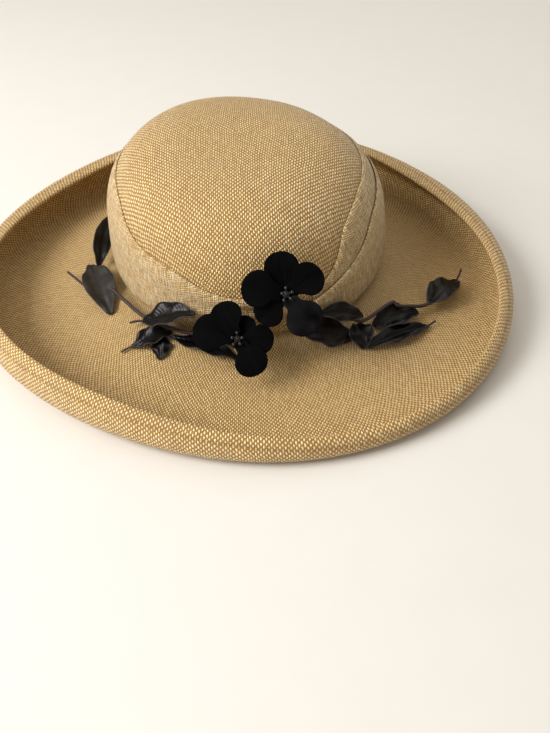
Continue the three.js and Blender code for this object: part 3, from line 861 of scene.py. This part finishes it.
def brim_piece(name, material):
    """The brim from its collar to its hem, upper face and underside, with its weave."""
    angle = whole_turn(BRIM_TURNS)
    root, way, out, up, wall = brim_line(angle)
    run_out = np.gradient(out, axis=0)
    run_up = np.gradient(up, axis=0)
    run = np.maximum(np.hypot(run_out, run_up), 1e-6)
    faces = []
    for side in (1, -1):
        shift = side * wall / 2 / run
        out_at = out - run_up * shift
        up_at = up + run_out * shift
        if side < 0:
            up_at = np.where(up < STRAW * 0.505, np.maximum(0.0, up_at), up_at)
        points = root[None] + way[None] * out_at[..., None]
        points[..., 2] = up_at
        faces.append(points)
    grid = np.concatenate([faces[0], faces[1][::-1]], 0)
    steps = np.cumsum(np.hypot(np.diff(out, axis=0), np.diff(up, axis=0)), 0)
    steps = np.concatenate([np.zeros((1, BRIM_TURNS)), steps], 0)
    along = (steps[-1:] - steps) / (bpy.context.scene.hat_straw.brim_thread / MM)
    along = np.concatenate([along, along[::-1], along[:1]], 0)
    along = np.concatenate([along, along[:, :1]], 1)
    columns = bpy.context.scene.hat_straw.brim_threads
    round_it = np.broadcast_to(np.linspace(0, columns, BRIM_TURNS + 1)[None, :], along.shape)
    weave = np.stack([round_it, along], -1)
    return shell_piece(name, metres(grid), weave, material, ring=True)


def rounded(share, power):
    """Thickness across a sheet whose edges, at -1 and 1, are rounded off."""
    return np.sqrt(np.clip(1 - np.abs(share) ** power, 0, 1))


def crease(across):
    """Depth of a crease down the middle of a sheet."""
    return np.exp(-((across / CREASE_WIDTH) ** 2))


def band_piece(name, rows, stand, steps, material, pleats):
    """A fold of cloth round the crown with soft lengthwise pleats, with its flat size and its area."""
    first, last = rows[0][0], rows[-1][0]
    across = np.concatenate([[0, 0.012, 0.04], np.linspace(0.1, 0.9, 17), [0.96, 0.988, 1]])
    edge = rounded(across * 2 - 1, 7)
    grid = []
    weave = []
    travelled = 0.0
    before = None
    thread = bpy.context.scene.hat_band.thread / MM
    for i in range(steps + 1):
        turn = first + (last - first) * i / steps
        low, high = (from_table(rows, k, turn) for k in (1, 2))
        width = (high - low) * CROWN_HEIGHT
        gathered = min(1.0, 14.0 / max(4.0, width))
        wave = np.zeros_like(across)
        for count, size, drift in pleats:
            phase = 2 * np.pi * across * count + math.radians(turn) * drift
            wave += size * (0.35 + gathered) * np.sin(phase)
        swell = BAND_SWELL * edge
        level = low + (high - low) * across
        off = stand * (0.5 + 0.5 * edge) if stand < CLOTH else stand
        inner = crown_point(math.radians(turn), level, -(off + swell * 0.6))
        wave = np.clip(wave, PLEAT_LOW, PLEAT_HIGH)
        face = off + swell + CLOTH * (0.3 + 0.7 * edge) + wave * edge
        outer = crown_point(math.radians(turn), level, -face)
        here = outer[len(across) // 2]
        if before is not None:
            travelled += float(np.linalg.norm(here - before))
        before = here
        grid.append(np.concatenate([outer, inner[::-1]], 0))
        v = across * width / thread
        v = np.concatenate([v, v[::-1], v[:1]])
        weave.append(np.stack([np.full_like(v, travelled / thread), v], -1))
    piece = shell_piece(name, metres(np.stack(grid)), np.stack(weave), material)
    area = sum(polygon.area for polygon in piece.data.polygons) / 2
    widest = max((row[2] - row[1]) * CROWN_HEIGHT for row in rows) * MM * SPARE_WIDTH
    return piece, (widest, travelled * MM * SPARE_LENGTH), area


def flower_frame(place, aim):
    """Matrix, in millimetres, from a flower's own frame to the hat's."""
    azimuth, rise = (math.radians(a) for a in aim)
    face = Vector((math.cos(rise) * math.cos(azimuth), math.cos(rise) * math.sin(azimuth), math.sin(rise)))
    right = Vector((0, 0, 1)).cross(face).normalized()
    up = face.cross(right)
    at = over_brim(*place)
    rows = [[right[k], up[k], face[k], at[k]] for k in range(3)] + [[0, 0, 0, 1]]
    return np.array(rows)


def placed(points, matrix):
    """Points carried by a matrix."""
    return points @ matrix[:3, :3].T + matrix[:3, 3]


def petal_grid(turn, size, tier, seed):
    """One velvet petal as a closed grid in its flower's frame."""
    along = np.sin(np.linspace(0, np.pi / 2, 34))
    across = np.linspace(-1, 1, 25)
    root = HUB_RADIUS + GAP
    length = PETAL_LENGTH * size
    disc = np.sqrt(np.clip(1 - 0.995 * ((along - PETAL_ROUND) / (1 - PETAL_ROUND)) ** 2, 0, 1))
    neck = PETAL_NECK * np.clip(1 - (along / 0.5) ** 4, 0, 1)
    half = PETAL_HALF_WIDTH * size * PETAL_BLADE * np.maximum(disc, neck)
    half[:-3] = smooth_values(half, 1)[:-3]
    reach = root + (length - root) * along
    x = np.repeat(reach[:, None], len(across), 1)
    y = half[:, None] * across[None, :]
    radius = np.hypot(x, y)
    bowl = PETAL_SEAT + PETAL_BOWL * np.sin(radius / PETAL_LENGTH * 2.3) + tier * TIER_STEP
    rise = PETAL_EDGE_RISE * np.power(np.abs(across), 3)[None, :] * np.sin(np.pi * along)[:, None]
    ripple = PETAL_RIPPLE * np.sin(across * 5.0 + seed)[None, :] * np.power(along, 2)[:, None]
    groove = PETAL_CREASE * crease(across)[None, :] * np.sin(np.pi * along)[:, None]
    middle = bowl + rise + ripple - groove
    edge = rounded(across, 6)[None, :] * rounded(along, 14)[:, None]
    thick = PETAL * 0.5 * (0.12 + 0.88 * edge)
    top = np.stack([x, y, middle + thick], -1)
    bottom = np.stack([x, y, middle - thick], -1)
    grid = np.concatenate([top, bottom[:, ::-1]], 1)
    c, s = math.cos(math.radians(turn)), math.sin(math.radians(turn))
    spin = np.array([[c, s, 0], [-s, c, 0], [0, 0, 1]])
    return grid @ spin


def sheet_grid(spine, up, halves, cup, twist, seed):
    """A closed grid of a leaf along its spine, with a crease down its middle and a rolled edge."""
    along = np.linspace(0, 1, 36)
    across = np.linspace(-1, 1, 17)
    curve = smooth_path(spine, along)
    tangent = np.gradient(curve, axis=0)
    tangent /= np.linalg.norm(tangent, axis=1)[:, None]
    half = smooth_values(np.interp(along, np.linspace(0, 1, len(halves)), halves), 5)
    grid = []
    for i, share in enumerate(along):
        side = Vector(tangent[i]).cross(Vector(up)).normalized()
        side.rotate(Matrix.Rotation(math.radians(twist) * share, 3, Vector(tangent[i])))
        face = np.array(side.cross(Vector(tangent[i])).normalized())
        side = np.array(side)
        wide = min(1.0, half[i] / 3)
        fold = cup * np.abs(across) ** 1.4 * half[i] - LEAF_CREASE * crease(across) * wide
        ruffle = LEAF_RUFFLE * np.sin(share * 17 + seed + across * 2.2) * np.abs(across) ** 1.5 * wide
        ruffle = ruffle + LEAF_RIPPLE * np.sin(across * 6.5 + seed + share * 4) * (1 - across**4) * wide
        thick = LEAF_SHEET * 0.5 * (0.2 + 0.8 * rounded(across, 8))
        base = curve[i] + np.outer(across * half[i], side)
        top = base + np.outer(fold + ruffle + thick, face)
        bottom = base + np.outer(fold + ruffle - thick, face)
        grid.append(np.concatenate([top, bottom[::-1]], 0))
    return np.stack(grid), along, across


def smooth_path(points, shares):
    """Catmull-Rom curve through points, read at shares of its length."""
    points = np.asarray(points, float)
    ends = np.concatenate([[2 * points[0] - points[1]], points, [2 * points[-1] - points[-2]]])
    fine = []
    for i in range(len(points) - 1):
        p0, p1, p2, p3 = ends[i : i + 4]
        for t in np.linspace(0, 1, 24, endpoint=False):
            a = 2 * p1 + (p2 - p0) * t + (2 * p0 - 5 * p1 + 4 * p2 - p3) * t * t
            fine.append(0.5 * (a + (3 * p1 - p0 - 3 * p2 + p3) * t**3))
    fine = np.array(fine + [points[-1]])
    steps = np.concatenate([[0], np.cumsum(np.linalg.norm(np.diff(fine, axis=0), axis=1))])
    want = np.asarray(shares) * steps[-1]
    return np.stack([np.interp(want, steps, fine[:, k]) for k in range(3)], -1)


def smooth_values(values, width):
    """Values evened out over their neighbours, with both ends kept."""
    padded = np.pad(values, width, mode="edge")
    kernel = np.ones(2 * width + 1) / (2 * width + 1)
    smoothed = np.convolve(padded, kernel, "valid")
    smoothed[0], smoothed[-1] = values[0], values[-1]
    return smoothed


def node_tree(name, inputs):
    """A Geometry Nodes tree with its named inputs."""
    tree = bpy.data.node_groups.new(name, "GeometryNodeTree")
    for title, kind in (("Geometry", "NodeSocketGeometry"), *inputs):
        tree.interface.new_socket(title, in_out="INPUT", socket_type=kind)
    tree.interface.new_socket("Geometry", in_out="OUTPUT", socket_type="NodeSocketGeometry")
    n = Nodes(tree)
    return tree, n, n.put("NodeGroupInput").outputs


def end_tree(n, geometry, material):
    """Ends a Geometry Nodes tree in plain smooth faces of one material."""
    plain = n.first("GeometryNodeRealizeInstances", Geometry=geometry)
    smooth = n.first("GeometryNodeSetShadeSmooth", Geometry=plain)
    done = n.first("GeometryNodeSetMaterial", Geometry=smooth, Material=material)
    n.put("NodeGroupOutput", Geometry=done)


def wire_tree():
    """Wire along a path, thinned by the path's taper and closed at both ends, its length kept as weave."""
    found = bpy.data.node_groups.get("wire_along_path")
    if found:
        return found
    inputs = (("Radius", "NodeSocketFloat"), ("Sides", "NodeSocketInt"), ("Finish", "NodeSocketMaterial"))
    tree, n, given = node_tree("wire_along_path", inputs)
    path = n.first("GeometryNodeMeshToCurve", Mesh=given["Geometry"])
    length = n.put("GeometryNodeSplineParameter").outputs["Length"]
    point = {"data_type": "FLOAT", "domain": "POINT"}
    path = n.first("GeometryNodeStoreNamedAttribute", point, Geometry=path, Name="run", Value=length)
    ring = n.first("GeometryNodeCurvePrimitiveCircle", Resolution=given["Sides"], Radius=given["Radius"])
    taper = n.first("GeometryNodeInputNamedAttribute", Name="taper")
    wire = n.first("GeometryNodeCurveToMesh", Curve=path, Profile_Curve=ring, Scale=taper, Fill_Caps=True)
    run = n.first("GeometryNodeInputNamedAttribute", Name="run")
    weave = n.first("ShaderNodeCombineXYZ", Y=n.math("DIVIDE", run, MM))
    corner = {"data_type": "FLOAT2", "domain": "CORNER"}
    wire = n.first("GeometryNodeStoreNamedAttribute", corner, Geometry=wire, Name="weave", Value=weave)
    for spare in ("run", "taper"):
        wire = n.first("GeometryNodeRemoveAttribute", Geometry=wire, Name=spare)
    end_tree(n, wire, given["Finish"])
    return tree


def seed_tree():
    """A round seed on every point."""
    found = bpy.data.node_groups.get("seed_on_points")
    if found:
        return found
    inputs = (("Radius", "NodeSocketFloat"), ("Finish", "NodeSocketMaterial"))
    tree, n, given = node_tree("seed_on_points", inputs)
    seed = n.first("GeometryNodeMeshIcoSphere", Radius=given["Radius"], Subdivisions=3)
    seeds = n.first("GeometryNodeInstanceOnPoints", Points=given["Geometry"], Instance=seed)
    end_tree(n, seeds, given["Finish"])
    return tree


def grown_piece(name, points, edges, tree, values, taper=None):
    """A plain mesh piece that a Geometry Nodes tree grows on points given in millimetres."""
    mesh = bpy.data.meshes.new(name)
    mesh.from_pydata([tuple(p) for p in metres(points)], edges, [])
    layer = mesh.attributes.new("taper", "FLOAT", "POINT")
    layer.data.foreach_set("value", np.ones(len(points)) if taper is None else taper)
    piece = linked(name, mesh)
    modifier = piece.modifiers.new("grow", "NODES")
    modifier.node_group = tree
    for socket in tree.interface.items_tree:
        if socket.in_out == "INPUT" and socket.name in values:
            modifier[socket.identifier] = values[socket.name]
    depsgraph = bpy.context.evaluated_depsgraph_get()
    grown = bpy.data.meshes.new_from_object(piece.evaluated_get(depsgraph), depsgraph=depsgraph)
    piece.modifiers.remove(modifier)
    piece.data = grown
    bpy.data.meshes.remove(mesh)
    if not grown.polygons:
        raise RuntimeError(f"{name} has no faces")
    return piece


def wire_piece(name, points, radius, material, sides=10, taper=None):
    """Wire along points in millimetres."""
    edges = [(i, i + 1) for i in range(len(points) - 1)]
    values = {"Radius": radius * MM, "Sides": sides, "Finish": material}
    return grown_piece(name, points, edges, wire_tree(), values, taper)


def joined(name, pieces):
    """One mesh piece out of several."""
    work = bmesh.new()
    materials = []
    for piece in pieces:
        start = len(work.faces)
        work.from_mesh(piece.data)
        work.faces.ensure_lookup_table()
        for face in work.faces[start:]:
            face.material_index += len(materials)
        materials.extend(piece.data.materials)
    mesh = bpy.data.meshes.new(name)
    unique = list(dict.fromkeys(materials))
    for face in work.faces:
        face.material_index = unique.index(materials[face.material_index])
    work.to_mesh(mesh)
    work.free()
    for material in unique:
        mesh.materials.append(material)
    for piece in pieces:
        old = piece.data
        bpy.data.objects.remove(piece)
        bpy.data.meshes.remove(old)
    return linked(name, mesh)


def flower_petals(name, petals, matrix, dark, brushed_sheen):
    """The velvet petals of one flower."""
    made = []
    for i, (turn, size, tier) in enumerate(petals):
        grid = placed(petal_grid(turn, size, tier, i * 1.7), matrix)
        weave = np.zeros((grid.shape[0], grid.shape[1] + 1, 2))
        # One petal takes the velvet with more painted sheen.
        velvet = brushed_sheen if (name, i) == BRUSHED_SHEEN_PETAL else dark
        made.append(shell_piece(f"{name}_velvet_{i + 1}", metres(grid), weave, velvet))
    return joined(f"{name}_petals", made)


def flower_centre(name, foot, matrix, dark, seeds, wire):
    """Stalk, hub, backing and stamens of one flower."""
    turn, level = foot
    off = GAP + CLOTH + BAND_SWELL + STEM_RADIUS + BAND_STAND
    start = placed(crown_point(math.radians(turn), level, -off)[None, :], np.linalg.inv(matrix))[0]
    route = smooth_path([start, (0, 0, -HUB_RADIUS * 1.6), (0, 0, PETAL_SEAT)], np.linspace(0, 1, 24))
    dome = np.array([(0, 0, PETAL_SEAT - HUB_RADIUS + t) for t in np.linspace(0, HUB_RADIUS * 2.4, 12)])
    swell = np.sqrt(np.clip(1 - np.linspace(-1, 1, 12) ** 2, 0.01, 1))
    back = np.array([(0, 0, PETAL_SEAT - t) for t in np.linspace(1.0, 2.2, 6)])
    parts = [
        wire_piece("stalk", placed(route, matrix), STEM_RADIUS, wire),
        wire_piece("dome", placed(dome, matrix), HUB_RADIUS, seeds, 16, swell),
        wire_piece("backing", placed(back, matrix), HUB_RADIUS * BACKING_REACH, dark, 28),
    ]
    heads = []
    for turn, reach, high in STAMENS:
        a = math.radians(turn)
        reach = reach * HUB_RADIUS
        head = np.array([reach * math.cos(a), reach * math.sin(a), high * HUB_RADIUS])
        root = np.array([head[0] * 0.3, head[1] * 0.3, HUB_RADIUS * 1.5])
        thread = root + (head - root) * np.linspace(0, 1, 6)[:, None]
        parts.append(wire_piece("thread", placed(thread, matrix), SEED_RADIUS * STAMEN_THREAD, wire, 8))
        heads.append(head)
    values = {"Radius": SEED_RADIUS * MM, "Finish": seeds}
    parts.append(grown_piece("seeds", placed(np.array(heads), matrix), [], seed_tree(), values))
    return joined(f"{name}_stamens", parts)


def leaf_piece(row, seed, satin, edge_wire):
    """A leaf with its wired edge, and the bare end of its wire where it has one."""
    name, root, tip, half, arch, cup, roll, twist = row
    start, end = over_brim(*root), over_brim(*tip)
    start, end = start - (end - start) * 0.05, end + (end - start) * 0.03
    up = Vector((0, 0, 1))
    up.rotate(Matrix.Rotation(math.radians(roll), 3, Vector(end - start).normalized()))
    spine = [
        start + (end - start) * t + np.array([0, 0, arch * LEAF_HALF_WIDTH * math.sin(math.pi * t)])
        for t in np.linspace(0, 1, 5)
    ]
    fullness = next(share for side, share in LEAF_FULLNESS.items() if name.startswith(side))
    halves = [share * half * LEAF_HALF_WIDTH * fullness for share in LEAF_OUTLINE]
    grid, length, width = sheet_grid(spine, up, halves, cup, twist, seed)
    round_it = np.concatenate([width, width[::-1], width[:1]])
    weave = np.stack(np.broadcast_arrays(round_it[None, :], length[:, None]), -1)
    made = [shell_piece(name + "_sheet", metres(grid), weave, satin)]
    count = len(width)
    rim = np.concatenate([grid[:, 0], grid[-1:, count // 2], grid[::-1, count - 1]])
    under = np.concatenate([grid[:, -1], grid[-1:, count + count // 2], grid[::-1, count]])
    outline = smooth_path((rim + under)[::2] / 2, np.linspace(0, 1, 90))
    made.append(wire_piece(name + "_wire", outline, LEAF_EDGE_WIRE, edge_wire, 6))
    if name in LEAF_TIPS:
        past_tip = smooth_path([over_brim(*p) for p in LEAF_TIPS[name]], np.linspace(0, 1, 16))
        made.append(wire_piece(name + "_tip", past_tip, LEAF_TIP_WIRE, stem_material(), 8))
    return joined(name + "_satin", made)


class HAT_OT_crown(bpy.types.Operator):
    """Blocked straw crown with its weave turned over the dome."""

    bl_idname = "hat.crown"
    bl_label = "Crown"

    def execute(self, context):
        piece = crown_piece("crown_straw", straw_material("crown_weave"))
        dress(piece, "straw", "crown")
        return {"FINISHED"}


class HAT_OT_brim(bpy.types.Operator):
    """Blocked straw brim, rolled up round its edge."""

    bl_idname = "hat.brim"
    bl_label = "Brim"

    def execute(self, context):
        hem = HEM_WIDTH / (context.scene.hat_straw.brim_thread / MM)
        piece = brim_piece("brim_straw", straw_material("brim_weave", hem))
        dress(piece, "straw", "brim")
        return {"FINISHED"}


class HAT_OT_band(bpy.types.Operator):
    """Two folds of straw cloth round the crown."""

    bl_idname = "hat.band"
    bl_label = "Band"

    def execute(self, context):
        cloth = cloth_material()
        wrap, flat, area = band_piece(
            "band_wrap_cloth", BAND_WRAP, BAND_STAND, WRAP_STEPS, cloth, WRAP_PLEATS
        )
        dress(wrap, "band", "band_wrap")
        stand = BAND_STAND + CLOTH + BAND_SWELL + GAP * 1.4
        fold, flat, area = band_piece(
            "band_fold_cloth", BAND_FOLD, stand, FOLD_STEPS, cloth, FOLD_PLEATS
        )
        dress(fold, "band", "band_fold")
        return {"FINISHED"}


class HAT_OT_flowers(bpy.types.Operator):
    """Two velvet flowers with their stamens and stalks."""

    bl_idname = "hat.flowers"
    bl_label = "Flowers"

    def execute(self, context):
        dark = velvet_material("petal_velvet", 0.05)
        # A copy of the velvet with more grey painted sheen, for one petal.
        brushed_sheen = velvet_material("petal_velvet_brushed", 0.6)
        seeds = wire_material("stamen_seed", SEED, 0.25)
        wire = stem_material()
        for name, place, aim, petals, foot in FLOWERS:
            matrix = flower_frame(place, aim)
            nodes = [f"{name}_petal_{i + 1}" for i in range(len(petals))]
            dress(flower_petals(name, petals, matrix, dark, brushed_sheen), "velvet", *nodes)
            dress(flower_centre(name, foot, matrix, dark, seeds, wire), "stem", f"{name}_centre")
        return {"FINISHED"}


class HAT_OT_leaves(bpy.types.Operator):
    """Satin and organza leaves with wired edges."""

    bl_idname = "hat.leaves"
    bl_label = "Leaves"

    def execute(self, context):
        settings = context.scene.hat_spray
        black = leaf_material("leaf_satin", tuple(settings.leaf), SATIN_RAISED, 0.31)
        grey = leaf_material("leaf_organza", tuple(settings.organza), ORGANZA_RAISED, 0.5)
        brown = leaf_material("leaf_brown", BROWN_LEAF, BROWN_RAISED, 0.42)
        finish = {"leaf_left_tip": grey, "leaf_right_broad": brown, "leaf_right_back": brown}
        edge_wire = wire_material("leaf_wire", LEAF_WIRE, 0.35)
        for i, row in enumerate(LEAVES):
            name = row[0]
            dress(leaf_piece(row, i * 2.1, finish.get(name, black), edge_wire), "leaf", name)
        return {"FINISHED"}


class HAT_OT_stems(bpy.types.Operator):
    """Wire stems wrapped in dark thread."""

    bl_idname = "hat.stems"
    bl_label = "Stems"

    def execute(self, context):
        wire = stem_material()
        for name, thick, path in STEMS:
            points = smooth_path([over_brim(*p) for p in path], np.linspace(0, 1, 14 * len(path)))
            dress(wire_piece(name + "_wrapped", points, thick * STEM_RADIUS, wire, 12), "stem", name)
        return {"FINISHED"}


class HAT_OT_stage(bpy.types.Operator):
    """Camera, floor and soft light."""

    bl_idname = "hat.stage"
    bl_label = "Stage"

    def execute(self, context):
        scene = context.scene
        settings = scene.hat_stage
        data = bpy.data.cameras.new("camera")
        data.lens = settings.lens
        camera = linked("camera", data)
        camera.location = settings.eye
        camera.rotation_euler = (math.pi / 2 - settings.tilt, 0, 0)
        scene.camera = camera
        material, n, shader = new_material("floor_paper")
        grain = n.noise(n.place(), 40.0, 3.0, 0.6)
        shade = n.mix(grain, colour(settings.floor, 0.96), colour(settings.floor))
        n.fill(shader, Base_Color=shade, Roughness=0.7)
        square = ((-1, -1), (1, -1), (1, 1), (-1, 1))
        corners = [(x * FLOOR_HALF, y * FLOOR_HALF, -FLOOR_DROP) for x, y in square]
        floor = mesh_object("floor", corners, [(0, 1, 2, 3)], material, smooth=False)
        for name, place, size, power, tint in LAMPS:
            light = bpy.data.lights.new(name, "AREA")
            light.size = size
            light.energy = power
            light.color = tint
            lamp = linked(name, light)
            lamp.location = place
            aim = Vector(LAMP_AIM) - Vector(place)
            lamp.rotation_euler = aim.to_track_quat("-Z", "Y").to_euler()
        world = scene.world or bpy.data.worlds.new("world")
        scene.world = world
        world.use_nodes = True
        room = world.node_tree.nodes["Background"].inputs
        room["Color"].default_value = colour(ROOM_COLOUR)
        room["Strength"].default_value = ROOM_LIGHT
        scene.view_settings.view_transform = "Standard"
        return {"FINISHED"}


class HAT_PT_panel(bpy.types.Panel):
    """Lists the hat's pieces."""

    bl_idname = "HAT_PT_panel"
    bl_label = "Straw Picture Hat"
    bl_space_type = "VIEW_3D"
    bl_region_type = "UI"
    bl_category = "Hat"

    def draw(self, context):
        for operator in OPERATORS:
            self.layout.operator(operator.bl_idname)
        for group in GROUPS:
            settings = getattr(context.scene, group)
            box = self.layout.box()
            for name in settings.bl_rna.properties.keys():
                if name not in ("rna_type", "name"):
                    box.prop(settings, name)


OPERATORS = (
    HAT_OT_crown,
    HAT_OT_brim,
    HAT_OT_band,
    HAT_OT_flowers,
    HAT_OT_leaves,
    HAT_OT_stems,
    HAT_OT_stage,
)
GROUPS = {"hat_straw": HatStraw, "hat_band": HatBand, "hat_spray": HatSpray, "hat_stage": HatStage}


def register():
    for group in GROUPS.values():
        bpy.utils.register_class(group)
    for operator in OPERATORS:
        bpy.utils.register_class(operator)
    bpy.utils.register_class(HAT_PT_panel)
    for name, group in GROUPS.items():
        setattr(bpy.types.Scene, name, bpy.props.PointerProperty(type=group))


def unregister():
    for name in GROUPS:
        delattr(bpy.types.Scene, name)
    bpy.utils.unregister_class(HAT_PT_panel)
    for operator in reversed(OPERATORS):
        bpy.utils.unregister_class(operator)
    for group in reversed(list(GROUPS.values())):
        bpy.utils.unregister_class(group)


def main():
    register()
    bpy.ops.hat.crown()
    bpy.ops.hat.brim()
    bpy.ops.hat.band()
    bpy.ops.hat.flowers()
    bpy.ops.hat.leaves()
    bpy.ops.hat.stems()
    bpy.ops.hat.stage()


if __name__ == "__main__":
    main()
